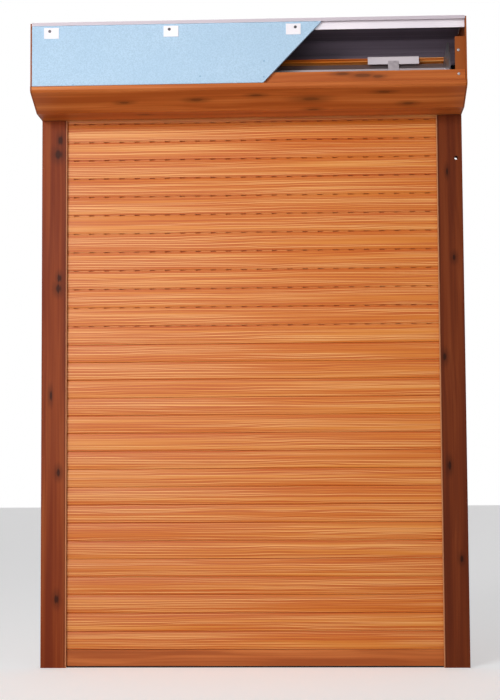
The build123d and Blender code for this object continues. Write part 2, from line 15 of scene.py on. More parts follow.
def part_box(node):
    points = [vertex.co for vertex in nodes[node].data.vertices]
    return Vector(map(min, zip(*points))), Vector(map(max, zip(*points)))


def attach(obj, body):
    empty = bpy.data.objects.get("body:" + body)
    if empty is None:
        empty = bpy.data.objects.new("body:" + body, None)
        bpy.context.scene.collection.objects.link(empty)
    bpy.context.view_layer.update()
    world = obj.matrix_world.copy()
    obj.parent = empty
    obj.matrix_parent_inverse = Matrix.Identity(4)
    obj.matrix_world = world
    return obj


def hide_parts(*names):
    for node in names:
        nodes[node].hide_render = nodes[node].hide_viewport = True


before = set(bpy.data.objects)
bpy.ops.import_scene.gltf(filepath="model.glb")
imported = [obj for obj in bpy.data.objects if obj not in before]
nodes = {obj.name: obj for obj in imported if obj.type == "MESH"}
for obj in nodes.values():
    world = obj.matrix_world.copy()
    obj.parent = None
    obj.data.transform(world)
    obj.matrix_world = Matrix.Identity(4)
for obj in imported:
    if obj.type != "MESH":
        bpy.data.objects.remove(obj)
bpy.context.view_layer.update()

# %% [markdown]
# ## Camera
# The picture was taken from a little over three metres, from a low point right of the middle. The
# camera looks slightly up and to the left. Position and angles were fitted to the corners of the
# box and the guides. The frame is 500 by 700, so the long side of the sensor lies upright.

# %% Camera
CAMERA_PLACE = (0.1389, -3.186, 0.405)
YAW, TIP, ROLL = radians(-2.528), radians(4.338), radians(-0.354)


def aim(yaw, pitch, roll):
    """Axes of a camera that first looks along +Y and is then turned, tipped up and rolled."""
    forward = Vector((sin(yaw) * cos(pitch), cos(yaw) * cos(pitch), sin(pitch)))
    right = Vector((cos(yaw), -sin(yaw), 0))
    up = right.cross(forward)
    right, up = cos(roll) * right + sin(roll) * up, cos(roll) * up - sin(roll) * right
    return Matrix((right, up, -forward)).transposed().to_4x4()


lens = bpy.data.cameras.new("photo_camera")
lens.sensor_width = 36
lens.lens = 80.8
lens.clip_end = 50
camera = bpy.data.objects.new("photo_camera", lens)
camera.matrix_world = Matrix.Translation(CAMERA_PLACE) @ aim(YAW, TIP, ROLL)
bpy.context.scene.collection.objects.link(camera)
bpy.context.scene.camera = camera
bpy.context.scene.view_settings.view_transform = "Standard"
print("camera", camera.location)

# %% [markdown]
# ## Studio
# Three large soft lamps stand in front: one on the left, a little above the box, as the main light,
# a weaker one on the right, and a low one that reaches the underside of the box. The world is a
# plain grey for light and white where the camera, a reflection or a clear surface looks at it.

# %% Lamps
def lamp(name, place, target, size, power, spread=180):
    """A square soft lamp that faces its target; a grid narrows its beam to spread degrees."""
    light = bpy.data.lights.new(name, "AREA")
    light.shape = "SQUARE"
    light.size = size
    light.energy = power
    light.spread = radians(spread)
    thing = bpy.data.objects.new(name, light)
    thing.location = place
    thing.rotation_euler = (Vector(target) - Vector(place)).to_track_quat("-Z", "Y").to_euler()
    bpy.context.scene.collection.objects.link(thing)
    return thing


middle = (0, 0, 0.7)
lamps = [
    lamp("main_lamp", (-1.7, -3.2, 1.6), (-0.15, 0, 0.85), 1.4, 11.0, 60),
    lamp("side_lamp", (2.4, -3.0, 1.5), middle, 1.8, 3),
    lamp("low_lamp", (-0.7, -2.7, 0.4), (-0.1, 0, 1.1), 1.3, 6, 110),
]
print("lamps", [thing.name for thing in lamps])

# %% Node helpers
def linear(red, green, blue):
    """A colour picked on a screen, 0 to 255, as the linear colour that shaders use."""
    parts = [value / 255 for value in (red, green, blue)]
    parts = [v / 12.92 if v <= 0.04045 else ((v + 0.055) / 1.055) ** 2.4 for v in parts]
    return (*parts, 1.0)


def add(tree, kind, settings=None, **values):
    """A new node, with its settings and the values of its inputs."""
    node = tree.nodes.new(kind)
    for name, value in (settings or {}).items():
        setattr(node, name, value)
    for name, value in values.items():
        node.inputs[name].default_value = value
    return node


def calc(tree, operation, first, second=0.0, third=0.0, clamp=False):
    """A Math node; each side is a socket or a number. Returns its output."""
    node = add(tree, "ShaderNodeMath", {"operation": operation, "use_clamp": clamp})
    for socket, value in zip(node.inputs, (first, second, third)):
        if isinstance(value, (int, float)):
            socket.default_value = value
        else:
            tree.links.new(value, socket)
    return node.outputs[0]


def smooth_step(tree, value, low, high):
    """0 below low, 1 above high and a soft turn between them; low may be the larger."""
    node = add(tree, "ShaderNodeMapRange", {"interpolation_type": "SMOOTHSTEP"})
    tree.links.new(value, node.inputs["Value"])
    node.inputs["From Min"].default_value = low
    node.inputs["From Max"].default_value = high
    return node.outputs["Result"]


def mix(tree, factor, first, second):
    """A colour mix; each colour is a socket or a linear colour. Returns its output."""
    node = add(tree, "ShaderNodeMix", {"data_type": "RGBA"})
    colour_sockets = [s for s in node.inputs if s.type == "RGBA"]
    ends = ((node.inputs[0], factor), (colour_sockets[0], first), (colour_sockets[1], second))
    for socket, value in ends:
        if isinstance(value, (int, float, tuple)):
            socket.default_value = value
        else:
            tree.links.new(value, socket)
    return [s for s in node.outputs if s.type == "RGBA"][0]


def vector_calc(tree, operation, first, second):
    """A Vector Math node on a socket and a fixed vector. Gives the node."""
    node = add(tree, "ShaderNodeVectorMath", {"operation": operation})
    tree.links.new(first, node.inputs[0])
    node.inputs[1].default_value = second
    return node


def noise(tree, vector, stretch, detail=2.0, roughness=0.5):
    """Noise between 0 and 1 with its own number of lumps per metre along X, Y and Z."""
    place = add(tree, "ShaderNodeMapping", Scale=stretch)
    tree.links.new(vector, place.inputs["Vector"])
    lumps = add(tree, "ShaderNodeTexNoise", Scale=1.0, Detail=detail, Roughness=roughness)
    tree.links.new(place.outputs["Vector"], lumps.inputs["Vector"])
    return lumps.outputs[0]


def group(name, inputs, outputs):
    """An empty shader node group with named sockets, and its input and output nodes."""
    tree = bpy.data.node_groups.new(name, "ShaderNodeTree")
    for label, kind, value in inputs:
        socket = tree.interface.new_socket(label, in_out="INPUT", socket_type=kind)
        if value is not None:
            socket.default_value = value
    for label, kind in outputs:
        tree.interface.new_socket(label, in_out="OUTPUT", socket_type=kind)
    return tree, tree.nodes.new("NodeGroupInput"), tree.nodes.new("NodeGroupOutput")


def place_group(tree, inner, **values):
    """A node that uses a group, with its own values or links."""
    node = add(tree, "ShaderNodeGroup", {"node_tree": inner})
    for label, value in values.items():
        socket = node.inputs[label.replace("_", " ")]
        if isinstance(value, (int, float, tuple)):
            socket.default_value = value
        else:
            tree.links.new(value, socket)
    return node


print("helpers ready")

# %% [markdown]
# ## Shared effects
# Four effects are used more than once, so each is a node group. The printed wood has fibres that
# run one way: noise that is forty to two hundred times longer than it is wide. A second group gives
# the dark and pale lines of the slats' print, a third gives knots, and a fourth the faint
# cloudiness and fine tooth that foil, moulded plastic and painted sheet have.

# %% Wood fibre group
FLOAT, VECTOR = "NodeSocketFloat", "NodeSocketVector"
fibre, source, sink = group(
    "wood_fibre",
    [("Vector", VECTOR, None), ("Waviness", FLOAT, 0.004)],
    [("Streak", FLOAT), ("Line", FLOAT), ("Hair", FLOAT)])
slow = noise(fibre, source.outputs["Vector"], (3.0, 9.0, 9.0), 1.0)
shift = calc(fibre, "MULTIPLY", calc(fibre, "SUBTRACT", slow, 0.5), source.outputs["Waviness"])
parts = add(fibre, "ShaderNodeSeparateXYZ")
fibre.links.new(source.outputs["Vector"], parts.inputs[0])
bent = add(fibre, "ShaderNodeCombineXYZ")
fibre.links.new(parts.outputs[0], bent.inputs[0])
fibre.links.new(calc(fibre, "ADD", parts.outputs[1], shift), bent.inputs[1])
fibre.links.new(calc(fibre, "ADD", parts.outputs[2], shift), bent.inputs[2])
fibre.links.new(noise(fibre, bent.outputs[0], (1.6, 60.0, 60.0), 3.0), sink.inputs["Streak"])
fibre.links.new(noise(fibre, bent.outputs[0], (1.1, 235.0, 235.0), 2.0, 0.6), sink.inputs["Line"])
fibre.links.new(noise(fibre, bent.outputs[0], (14.0, 900.0, 900.0), 1.0), sink.inputs["Hair"])
print("group", fibre.name)

# %% Printed line group
DRIFT = 3.4     # how many line spacings the print wanders up and down

lines, source, sink = group(
    "printed_lines",
    [("Vector", VECTOR, None), ("Spacing", FLOAT, 0.003)],
    [("Dark", FLOAT), ("Pale", FLOAT)])
place = source.outputs["Vector"]
parts = add(lines, "ShaderNodeSeparateXYZ")
lines.links.new(place, parts.inputs[0])
turns = calc(lines, "DIVIDE", parts.outputs[2], source.outputs["Spacing"])
drift = calc(lines, "MULTIPLY", noise(lines, place, (2.2, 0.0, 16.0), 2.0), DRIFT)
turns = calc(lines, "ADD", turns, drift)
turns = calc(lines, "ADD", turns, noise(lines, place, (6.0, 0.0, 75.0), 1.0))
wave = calc(lines, "SINE", calc(lines, "MULTIPLY", turns, 2 * pi))
for label, low, high, stretch, floor, top in (
        ("Dark", 0.10, 0.80, (1.5, 0.0, 150.0), 0.30, 0.54),
        ("Pale", -0.1, -0.85, (2.1, 0.0, 120.0), 0.38, 0.60)):
    strength = smooth_step(lines, noise(lines, place, stretch, 1.0), floor, top)
    print_line = calc(lines, "MULTIPLY", smooth_step(lines, wave, low, high), strength)
    lines.links.new(print_line, sink.inputs[label])
print("group", lines.name)

# %% Knot group
knots, source, sink = group(
    "wood_knots",
    [("Vector", VECTOR, None), ("Share", FLOAT, 0.2)],
    [("Knot", FLOAT), ("Halo", FLOAT)])
place = add(knots, "ShaderNodeMapping", Scale=(4.0, 15.0, 15.0))
knots.links.new(source.outputs["Vector"], place.inputs["Vector"])
cells = add(knots, "ShaderNodeTexVoronoi", Scale=1.0, Randomness=1.0)
knots.links.new(place.outputs["Vector"], cells.inputs["Vector"])
pick = add(knots, "ShaderNodeSeparateColor")
knots.links.new(cells.outputs["Color"], pick.inputs[0])
chosen = calc(knots, "LESS_THAN", pick.outputs[0], source.outputs["Share"])
for label, reach in (("Knot", 0.10), ("Halo", 0.34)):
    spot = smooth_step(knots, cells.outputs["Distance"], reach, reach * 0.2)
    knots.links.new(calc(knots, "MULTIPLY", spot, chosen), sink.inputs[label])
print("group", knots.name)

# %% Surface group
surface, source, sink = group(
    "fine_surface",
    [("Vector", VECTOR, None), ("Roughness", FLOAT, 0.4), ("Clouding", FLOAT, 0.1)],
    [("Cloud", FLOAT), ("Tooth", FLOAT), ("Roughness", FLOAT)])
cloud = noise(surface, source.outputs["Vector"], (9.0, 9.0, 9.0), 3.0)
tooth = noise(surface, source.outputs["Vector"], (1400.0, 1400.0, 1400.0), 1.0)
surface.links.new(cloud, sink.inputs["Cloud"])
surface.links.new(tooth, sink.inputs["Tooth"])
swing = calc(surface, "MULTIPLY", calc(surface, "SUBTRACT", cloud, 0.5), source.outputs["Clouding"])
level = calc(surface, "ADD", source.outputs["Roughness"], swing)
surface.links.new(level, sink.inputs["Roughness"])
print("group", surface.name)


# %% Starting a material
def start(name, roughness=0.5, **settings):
    """A new material: gives it, its tree, its shader and Object coordinates."""
    material = bpy.data.materials.new(name)
    material.use_nodes = True
    tree = material.node_tree
    shader = tree.nodes["Principled BSDF"]
    shader.inputs["Roughness"].default_value = roughness
    for label, value in settings.items():
        shader.inputs[label.replace("_", " ")].default_value = value
    where = add(tree, "ShaderNodeTexCoord").outputs["Object"]
    return material, tree, shader, where


def bump(tree, shader, height, distance, strength=1.0):
    """Relief on the shader's normal, distance in metres."""
    node = add(tree, "ShaderNodeBump", Distance=distance, Strength=strength)
    tree.links.new(height, node.inputs["Height"])
    tree.links.new(node.outputs["Normal"], shader.inputs["Normal"])


print("materials start from the Principled shader")

# %% [markdown]
# ## Golden oak foil
# Guides, panel and end bar carry a smooth red brown foil with long soft streaks and small dark
# knots. It has a low gloss. On the guides the grain stands upright, on the panel and the bar it
# lies along the box, so the same recipe is fed with swapped coordinates for upright pieces.

# %% Golden oak
OAK_ROUGHNESS = 0.42
KNOT_EDGE, HALO_EDGE = (1.15, 0.5), (3.0, 0.8)      # where a spot starts and is full, in half sizes
HALO_SHADE, KNOT_SHADE = 0.62, 0.42                 # shares of the foil's dark tone


def golden_oak(name, upright, dark, plain, light, spots=()):
    """Printed oak foil; spots are the centres and half sizes of single knots."""
    shine, depth = (0.08, 0.85) if upright else (0.18, 0.5)
    material, tree, shader, where = start(name, OAK_ROUGHNESS, Specular_IOR_Level=shine)
    parts = add(tree, "ShaderNodeSeparateXYZ")
    tree.links.new(where, parts.inputs[0])
    along = add(tree, "ShaderNodeCombineXYZ")
    order = (2, 1, 0) if upright else (0, 1, 2)
    for target, origin in enumerate(order):
        tree.links.new(parts.outputs[origin], along.inputs[target])
    grain = place_group(tree, fibre, Vector=along.outputs[0], Waviness=0.02)
    streak, line = grain.outputs["Streak"], grain.outputs["Line"]
    marks = place_group(tree, knots, Vector=along.outputs[0], Share=0.1)
    knot, halo = marks.outputs["Knot"], marks.outputs["Halo"]
    frayed = calc(tree, "MULTIPLY", calc(tree, "SUBTRACT", line, 0.5), 1.3)
    for centre, half in spots:
        shifted = vector_calc(tree, "SUBTRACT", where, centre)
        scaled = vector_calc(tree, "DIVIDE", shifted.outputs[0], half)
        away = vector_calc(tree, "LENGTH", scaled.outputs[0], (0, 0, 0)).outputs["Value"]
        away = calc(tree, "ADD", away, frayed)
        knot = calc(tree, "MAXIMUM", knot, smooth_step(tree, away, *KNOT_EDGE))
        halo = calc(tree, "MAXIMUM", halo, smooth_step(tree, away, *HALO_EDGE))
    colour = mix(tree, smooth_step(tree, streak, 0.34, 0.60), linear(*dark), linear(*plain))
    colour = mix(tree, smooth_step(tree, streak, 0.52, 0.78), colour, linear(*light))
    fine = calc(tree, "MULTIPLY", smooth_step(tree, line, 0.60, 0.36), 0.45)
    colour = mix(tree, fine, colour, linear(*dark))
    deep = tuple(int(value * HALO_SHADE) for value in dark)
    colour = mix(tree, calc(tree, "MULTIPLY", halo, 0.5), colour, linear(*deep))
    core = tuple(int(value * KNOT_SHADE) for value in dark)
    colour = mix(tree, calc(tree, "MULTIPLY", knot, depth), colour, linear(*core))
    tree.links.new(colour, shader.inputs["Base Color"])
    face = place_group(tree, surface, Vector=where, Roughness=OAK_ROUGHNESS, Clouding=0.12)
    tree.links.new(face.outputs["Roughness"], shader.inputs["Roughness"])
    bump(tree, shader, grain.outputs["Hair"], 0.00006, 0.5)
    return material, tree, shader, parts, colour


print("oak recipe ready, roughness", OAK_ROUGHNESS)

# %% Panel and bar
PANEL_FACE, SOFFIT_HEIGHT = -0.0712, 1.15

soffit_knots = [((x, y, SOFFIT_HEIGHT), (wide, high, 1.0)) for x, y, wide, high in (
    (-0.254, -0.040, 0.012, 0.004), (-0.218, 0.015, 0.010, 0.004), (-0.105, -0.045, 0.014, 0.005),
    (0.016, -0.058, 0.013, 0.004), (0.128, -0.042, 0.022, 0.007), (0.132, -0.004, 0.012, 0.005),
    (0.275, -0.062, 0.014, 0.004), (0.325, -0.022, 0.012, 0.005))]
ledge_knots = [((x, PANEL_FACE, z), (wide, 0.01, high)) for x, z, wide, high in (
    (0.191, 1.1975, 0.013, 0.003), (0.232, 1.193, 0.015, 0.004), (0.262, 1.190, 0.010, 0.003))]
panel_oak = golden_oak("panel_oak", False, (170, 84, 32), (196, 108, 48), (210, 128, 66),
                       soffit_knots + ledge_knots)[0]
bar_oak = golden_oak("bar_oak", False, (160, 78, 30), (190, 104, 48), (206, 122, 64))[0]
print("materials", panel_oak.name, bar_oak.name)

# %% Guide finish
LIP = 0.0022
# Colours of a painted highlight on the guide's rounded lip and of painted shade in the groove.
LIP_HIGHLIGHT, GROOVE_SHADE = (222, 158, 112), (70, 28, 14)
KNOT_PLANE, KNOT_REACH = 0.0605, 0.1        # a guide's knots go through its whole depth


def guide_finish(name, dark, plain, light, spots):
    """Upright oak foil with painted highlight on the inner lip and painted shade in the groove."""
    material, tree, shader, parts, colour = golden_oak(name, True, dark, plain, light, spots)
    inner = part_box("guide_right")[0][0]
    away = calc(tree, "SUBTRACT", calc(tree, "ABSOLUTE", parts.outputs[0]), inner)
    lip = smooth_step(tree, away, LIP * 1.2, LIP * 0.6)
    groove = calc(tree, "MULTIPLY", smooth_step(tree, away, LIP * 1.3, LIP * 1.6),
                  smooth_step(tree, away, LIP * 2.4, LIP * 2.0))
    # Painted highlight on the lip, then painted shade in the groove.
    colour = mix(tree, calc(tree, "MULTIPLY", lip, 0.6), colour, linear(*LIP_HIGHLIGHT))
    colour = mix(tree, calc(tree, "MULTIPLY", groove, 0.55), colour, linear(*GROOVE_SHADE))
    tree.links.new(colour, shader.inputs["Base Color"])
    return material


def guide_knots(*spots):
    """Knots on a guide's front, from x, z and their half sizes."""
    return [((x, KNOT_PLANE, z), (wide, KNOT_REACH, high)) for x, z, wide, high in spots]


left_oak = guide_finish("left_guide_oak", (112, 42, 14), (136, 60, 24), (150, 76, 34), guide_knots(
    (-0.4015, 1.098, 0.005, 0.010), (-0.4055, 1.068, 0.008, 0.010), (-0.4030, 0.806, 0.0045, 0.008),
    (-0.4050, 0.784, 0.006, 0.009), (-0.4200, 0.560, 0.003, 0.012), (-0.4040, 0.400, 0.005, 0.009),
    (-0.4070, 0.140, 0.005, 0.010)))
# The right guide is a darker copy of the left guide's foil: painted shade on the right side.
shaded_right_oak = guide_finish("shaded_right_guide_oak", (92, 37, 16), (114, 51, 22), (130, 64, 32), guide_knots(
    (0.3975, 0.634, 0.005, 0.010), (0.4080, 1.020, 0.003, 0.009), (0.4200, 0.840, 0.004, 0.008),
    (0.4040, 0.410, 0.004, 0.011), (0.4260, 0.220, 0.004, 0.008)))
print("materials", left_oak.name, shaded_right_oak.name)

# %% [markdown]
# ## Slat foil
# The slats have a brighter, yellow orange foil. Its print is nearly straight: pale and dark lines a
# few millimetres apart run the whole width and drift slowly together and apart. Each slat has
# painted shade along its top and its foot, where the crowned face turns away from the light.

# %% Slat foil
CLOSED_ROWS, OPEN_ROWS = 17, 13
CLOSED_PITCH, OPEN_PITCH, BAR_TOP = 0.037, 0.039, 0.037
OPEN_START = BAR_TOP + CLOSED_ROWS * CLOSED_PITCH


def slat_share(tree, height):
    """How far up its own slat a point lies, from 0 to 1."""
    def share(foot, pitch):
        up = calc(tree, "SUBTRACT", height, foot)
        return calc(tree, "FRACT", calc(tree, "DIVIDE", up, pitch))

    closed, opened = share(BAR_TOP, CLOSED_PITCH), share(OPEN_START, OPEN_PITCH)
    above = calc(tree, "GREATER_THAN", height, OPEN_START)
    return calc(tree, "ADD", calc(tree, "MULTIPLY", opened, above),
                calc(tree, "MULTIPLY", closed, calc(tree, "SUBTRACT", 1.0, above)))


def slat_foil():
    """Yellow orange foil with fine lines along the slat, from a tight and a wide set of lines."""
    material, tree, shader, where = start("slat_foil", 0.4, Specular_IOR_Level=0.3)
    grain = place_group(tree, fibre, Vector=where, Waviness=0.011)
    tight = place_group(tree, lines, Vector=where, Spacing=0.0031)
    wide = place_group(tree, lines, Vector=where, Spacing=0.0052)
    pale, dark = [
        calc(tree, "MAXIMUM", tight.outputs[label],
             calc(tree, "MULTIPLY", wide.outputs[label], weight))
        for label, weight in (("Pale", 0.7), ("Dark", 0.8))]
    parts = add(tree, "ShaderNodeSeparateXYZ")
    tree.links.new(where, parts.inputs[0])
    share = slat_share(tree, parts.outputs[2])
    # Painted shade: each slat's colour is darker along its top and its foot.
    rim = calc(tree, "ADD", calc(tree, "MULTIPLY", smooth_step(tree, share, 0.72, 0.92), 0.55),
               calc(tree, "MULTIPLY", smooth_step(tree, share, 0.14, 0.03), 0.35))
    tone = smooth_step(tree, grain.outputs["Streak"], 0.36, 0.62)
    colour = mix(tree, tone, linear(207, 119, 38), linear(215, 134, 54))
    colour = mix(tree, calc(tree, "MULTIPLY", pale, 0.75), colour, linear(238, 180, 114))
    colour = mix(tree, rim, colour, linear(198, 100, 26))
    colour = mix(tree, calc(tree, "MULTIPLY", dark, 0.95), colour, linear(184, 78, 8))
    tree.links.new(colour, shader.inputs["Base Color"])
    face = place_group(tree, surface, Vector=where, Roughness=0.4, Clouding=0.1)
    tree.links.new(face.outputs["Roughness"], shader.inputs["Roughness"])
    bump(tree, shader, grain.outputs["Hair"], 0.00008, 0.6)
    return material


slat_finish = slat_foil()
print("material", slat_finish.name)

# %% [markdown]
# ## Plain finishes
# White and brown moulded plastic, black plastic and rubber, blue foam, dark painted sheet and zinc
# plated steel. None is a flat colour: each gets clouding in its gloss, and the foam its open cells.

# %% Moulded plastic
def moulded(name, colour, shade, roughness, tooth=0.00004):
    """Moulded plastic: a faint clouding between two close tones and a fine tooth."""
    material, tree, shader, where = start(name, roughness, Specular_IOR_Level=0.25)
    face = place_group(tree, surface, Vector=where, Roughness=roughness, Clouding=0.15)
    cloud = smooth_step(tree, face.outputs["Cloud"], 0.3, 0.7)
    tone = mix(tree, cloud, linear(*shade), linear(*colour))
    tree.links.new(tone, shader.inputs["Base Color"])
    tree.links.new(face.outputs["Roughness"], shader.inputs["Roughness"])
    bump(tree, shader, face.outputs["Tooth"], tooth, 0.5)
    return material


# The rail's rounded nose is greyer from its foot upwards: painted shade.
NOSE_FOOT, NOSE_BLEND, NOSE_SHADE = 1.3036, 0.0004, (206, 194, 202)


def rail_finish():
    """White plastic with painted shade, greyer from the foot of the rail's nose upwards."""
    material = moulded("rail_plastic", (250, 243, 248), (242, 234, 240), 0.4)
    tree = material.node_tree
    parts = add(tree, "ShaderNodeSeparateXYZ")
    tree.links.new(add(tree, "ShaderNodeTexCoord").outputs["Object"], parts.inputs[0])
    base = tree.nodes["Principled BSDF"].inputs["Base Color"]
    unshaded_white = base.links[0].from_socket
    nose_shade = smooth_step(tree, parts.outputs[2], NOSE_FOOT, NOSE_FOOT + NOSE_BLEND)
    tree.links.new(mix(tree, nose_shade, unshaded_white, linear(*NOSE_SHADE)), base)
    return material


rail_plastic = rail_finish()
washer_plastic = moulded("washer_plastic", (250, 245, 248), (238, 230, 236), 0.5)
hanger_plastic = moulded("hanger_plastic", (222, 212, 216), (206, 196, 201), 0.45)
brown_plastic = moulded("brown_plastic", (154, 76, 16), (136, 64, 12), 0.5)
black_plastic = moulded("black_plastic", (34, 34, 36), (26, 26, 28), 0.5)
black_rubber = moulded("black_rubber", (30, 29, 30), (20, 19, 20), 0.75, 0.00008)
motor_paint = moulded("motor_paint", (150, 152, 156), (138, 140, 144), 0.35)
print("plastics made")


# %% Blue foam
def foam():
    """Rigid foam board: pale blue skin, darker pricks and a soft lumpy face."""
    material, tree, shader, where = start("blue_foam", 0.85, Specular_IOR_Level=0.3)
    face = place_group(tree, surface, Vector=where, Roughness=0.85, Clouding=0.1)
    grain = noise(tree, where, (420.0, 420.0, 420.0), 2.0, 0.7)
    lumpy = smooth_step(tree, grain, 0.34, 0.66)
    tone = mix(tree, lumpy, linear(170, 199, 221), linear(188, 214, 236))
    cells = add(tree, "ShaderNodeTexVoronoi", Scale=1.0, Randomness=1.0)
    spread = add(tree, "ShaderNodeMapping", Scale=(62.0, 62.0, 62.0))
    tree.links.new(where, spread.inputs["Vector"])
    tree.links.new(spread.outputs[0], cells.inputs["Vector"])
    pick = add(tree, "ShaderNodeSeparateColor")
    tree.links.new(cells.outputs["Color"], pick.inputs[0])
    chosen = calc(tree, "LESS_THAN", pick.outputs[0], 0.12)
    prick = calc(tree, "MULTIPLY", smooth_step(tree, cells.outputs["Distance"], 0.16, 0.05), chosen)
    tone = mix(tree, calc(tree, "MULTIPLY", prick, 0.55), tone, linear(96, 150, 186))
    cloud = smooth_step(tree, face.outputs["Cloud"], 0.62, 0.4)
    tone = mix(tree, calc(tree, "MULTIPLY", cloud, 0.25), tone, linear(172, 202, 226))
    tree.links.new(tone, shader.inputs["Base Color"])
    height = calc(tree, "SUBTRACT", grain, calc(tree, "MULTIPLY", prick, 2.0))
    bump(tree, shader, height, 0.0005, 0.7)
    return material


blue_foam = foam()
print("material", blue_foam.name)


# %% Metal
def metal(name, colour, shade, roughness, metallic, stretch):
    """Sheet or plated steel: stretched noise gives the rolling lines or the zinc's clouds."""
    material, tree, shader, where = start(name, roughness, Metallic=metallic)
    face = place_group(tree, surface, Vector=where, Roughness=roughness, Clouding=0.25)
    streaks = noise(tree, where, stretch, 2.0)
    tone = mix(tree, smooth_step(tree, streaks, 0.3, 0.7), linear(*shade), linear(*colour))
    tree.links.new(tone, shader.inputs["Base Color"])
    tree.links.new(face.outputs["Roughness"], shader.inputs["Roughness"])
    bump(tree, shader, streaks, 0.00003, 0.4)
    return material


zinc = metal("zinc_plated_steel", (178, 176, 178), (150, 148, 150), 0.38, 0.9, (60.0, 60.0, 60.0))
dark_steel = metal("dark_steel", (96, 92, 96), (70, 68, 72), 0.4, 0.6, (90.0, 90.0, 90.0))
strap_steel = metal("strap_steel", (176, 166, 170), (156, 146, 150), 0.45, 0.2,
                    (120.0, 120.0, 120.0))
dark_sheet = metal("dark_painted_sheet", (128, 114, 130), (104, 92, 106), 0.4, 0.15,
                   (1.5, 90.0, 90.0))
tube_steel = metal("tube_steel", (160, 148, 150), (136, 126, 128), 0.42, 0.7, (2.0, 140.0, 140.0))
print("metals made")

# %% Finishes on the model's pieces
finish = {
    "guide_left": left_oak, "guide_right": shaded_right_oak,
    "inspection_panel": panel_oak, "bottom_bar": bar_oak,
    "guide_seals": black_rubber, "bottom_seal": black_rubber,
    "end_plate_left": brown_plastic, "end_plate_right": brown_plastic,
    "top_rail": rail_plastic, "board_washers": washer_plastic, "hanger_plates": hanger_plastic,
    "top_cover": dark_sheet, "rear_cover": dark_sheet, "plaster_board": blue_foam,
    "roller_tube": tube_steel, "flange_disc_left": tube_steel, "flange_disc_right": tube_steel,
    "hanger_straps": strap_steel, "screws": zinc, "motor_bracket": zinc, "idler_bearing": zinc,
    "idler_pin": zinc, "motor": motor_paint, "motor_crown": black_plastic,
    "drive_wheel": black_plastic, "idler_cap": black_plastic, "bearing_holder": black_plastic,
}
for name, node in nodes.items():
    for slot in node.material_slots:
        slot.material = finish.get(name, slat_finish)
print("finished nodes", len(nodes))

# %% [markdown]
# ## The slats
# A slat is one section drawn along its whole width. The CAD model keeps its crowned face to a few
# flats, so here the same section is drawn with true arcs. Geometry Nodes then repeat it: one tree
# sets whole slats at the closed spacing, and again at the open spacing higher up.

# %% Slat section
# Millimetres from the slat's own plane and foot; the front is the negative side.
MM = 0.001
EDGE, CROWN, BODY, ROUND = 3.3, 1.0, 36.7, 1.2
NECK_LEFT, NECK_RIGHT, HOOK_TIP, HOOK_TOP, HEAD, HOOK_BEVEL = 0.6, 1.6, -1.0, 41.5, 1.2, 0.8
SKIRT, SKIRT_INNER, GROOVE_TOP, GROOVE_LEFT, LIP_TOP, LIP_INSET = 2.0, 1.9, 4.9, -1.3, 1.2, 1.3
VENT_HEIGHT = 2.0
WEB_FRONT, WEB_SINK, WEB_HEIGHT = -3.0, 0.2, 2.1
SMOOTH_BELOW = radians(28)


def arc(start, through, end, steps):
    """Points on the circle through three points, from start to end, without the last one."""
    (ax, ay), (bx, by), (cx, cy) = start, through, end
    d = 2 * (ax * (by - cy) + bx * (cy - ay) + cx * (ay - by))
    a2, b2, c2 = ax * ax + ay * ay, bx * bx + by * by, cx * cx + cy * cy
    ux = (a2 * (by - cy) + b2 * (cy - ay) + c2 * (ay - by)) / d
    uy = (a2 * (cx - bx) + b2 * (ax - cx) + c2 * (bx - ax)) / d
    first, last = atan2(ay - uy, ax - ux), atan2(cy - uy, cx - ux)
    turn = (last - first + pi) % (2 * pi) - pi
    radius = ((ax - ux) ** 2 + (ay - uy) ** 2) ** 0.5
    angles = [first + turn * step / steps for step in range(steps)]
    return [(ux + radius * cos(angle), uy + radius * sin(angle)) for angle in angles]


def slat_body():
    """Outline of a slat's body: rounded crowned front, rebate, crowned back, skirt and groove."""
    bend = ROUND * (1 - 0.5 ** 0.5)
    outline = arc((ROUND - EDGE, 0), (bend - EDGE, bend), (-EDGE, ROUND), 4)
    outline += arc((-EDGE, ROUND), (-EDGE - CROWN, BODY / 2), (-EDGE, BODY - ROUND), 12)
    outline += arc((-EDGE, BODY - ROUND), (bend - EDGE, BODY - bend), (ROUND - EDGE, BODY), 4)
    outline += [(ROUND - EDGE, BODY), (NECK_RIGHT, BODY), (NECK_RIGHT, BODY - SKIRT)]
    outline += arc((EDGE, BODY - SKIRT), (EDGE + CROWN, BODY / 2), (EDGE, 0), 8)
    outline += [(EDGE, 0), (EDGE, -SKIRT), (SKIRT_INNER, -SKIRT), (SKIRT_INNER, GROOVE_TOP)]
    lip = NECK_RIGHT - LIP_INSET
    return outline + [(GROOVE_LEFT, GROOVE_TOP), (GROOVE_LEFT, LIP_TOP), (lip, LIP_TOP), (lip, 0)]


def hook(foot):
    """Outline of the neck and the hook on it, from a height upwards."""
    return [(NECK_LEFT, foot), (NECK_RIGHT, foot), (NECK_RIGHT, HOOK_TOP - HOOK_BEVEL),
            (NECK_RIGHT - HOOK_BEVEL, HOOK_TOP), (HOOK_TIP, HOOK_TOP),
            (HOOK_TIP, HOOK_TOP - HEAD), (NECK_LEFT, HOOK_TOP - HEAD)]


def mesh_of(name, work, smooth):
    """The mesh of a finished bmesh; where asked, faces that meet at a low angle shade smooth."""
    if smooth:
        for face in work.faces:
            face.smooth = True
        for edge in work.edges:
            edge.smooth = edge.calc_face_angle(0) < SMOOTH_BELOW
    mesh = bpy.data.meshes.new(name)
    work.to_mesh(mesh)
    work.free()
    return mesh


